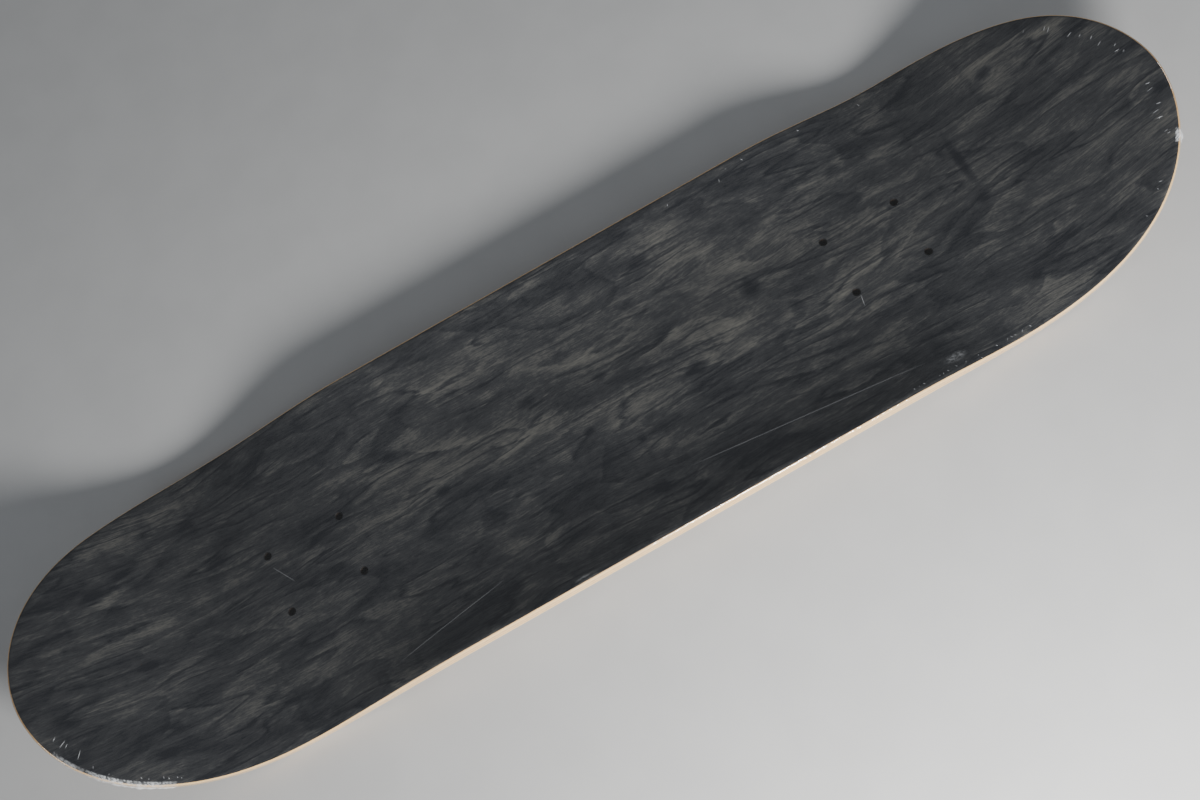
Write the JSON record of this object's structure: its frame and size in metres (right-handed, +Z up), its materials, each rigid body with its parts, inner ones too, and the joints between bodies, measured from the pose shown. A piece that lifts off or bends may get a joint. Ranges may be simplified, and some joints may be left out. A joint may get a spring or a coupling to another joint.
{
  "type": "skateboard deck",
  "caption": "Blank pressed-maple skateboard deck with upturned nose and tail, concave, truck bolt holes and a clear shrink wrap.",
  "frame": {"origin": "under the middle of the deck's box, on the plane that the deck's flat strip rests on", "axes": "+X along the deck to the nose, +Y to the left rail, +Z up out of the concave top face"},
  "size_m": [0.8106, 0.2074, 0.0673],
  "materials": {
    "stained_maple": "black-stained open grain, satin",
    "long_grain_maple": "sanded, raw",
    "cross_grain_maple": "sanded end grain, raw",
    "natural_maple_face": "sanded, raw",
    "clear_film": "clear, glossy, wrinkled at the ends"
  },
  "bodies": {
    "root": {"ply_1_stained_top": "stained_maple", "ply_2_long_grain": "long_grain_maple", "ply_3_cross_grain": "cross_grain_maple", "ply_4_long_grain_core": "long_grain_maple", "ply_5_cross_grain": "cross_grain_maple", "ply_6_long_grain": "long_grain_maple", "ply_7_natural_bottom": "natural_maple_face", "shrink_wrap": "clear_film"}
  },
  "joints": []
}
